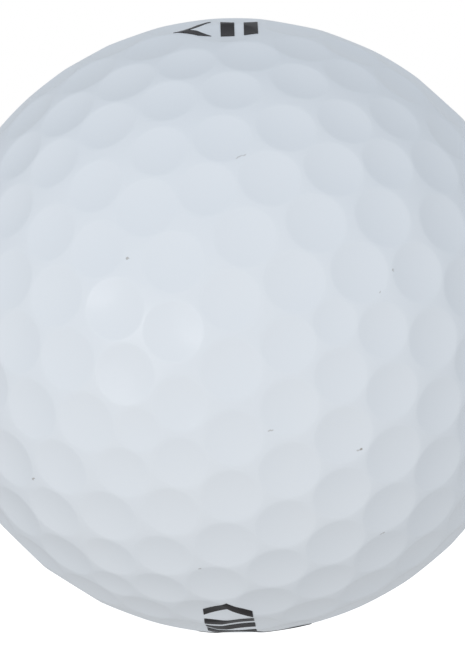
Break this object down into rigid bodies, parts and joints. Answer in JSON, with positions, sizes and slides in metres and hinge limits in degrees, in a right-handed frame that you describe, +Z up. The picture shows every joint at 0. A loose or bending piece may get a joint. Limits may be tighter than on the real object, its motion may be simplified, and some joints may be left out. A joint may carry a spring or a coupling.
{
  "type": "golf ball",
  "caption": "White dimpled golf ball in four layers, each outer layer in two half shells, with plain printed alignment marks.",
  "frame": {"origin": "centre of the ball", "axes": "+Z up and -Y towards the viewer as the ball lies; the pole of the front half points forward and down, the pole of the rear half back and up"},
  "size_m": [0.0426, 0.0426, 0.0426],
  "materials": {
    "inner_core": "matt moulded rubber",
    "outer_core": "matt moulded rubber",
    "mantle": "satin ionomer",
    "cover": "painted and clear-coated urethane",
    "ink": "pad-printed ink film"
  },
  "bodies": {
    "root": {"inner_core": "inner_core", "outer_core_front": "outer_core", "outer_core_rear": "outer_core", "mantle_front": "mantle", "mantle_rear": "mantle", "cover_front": "cover", "cover_rear": "cover", "top_mark": "ink", "bottom_mark": "ink", "sight_line": "ink"}
  },
  "joints": []
}
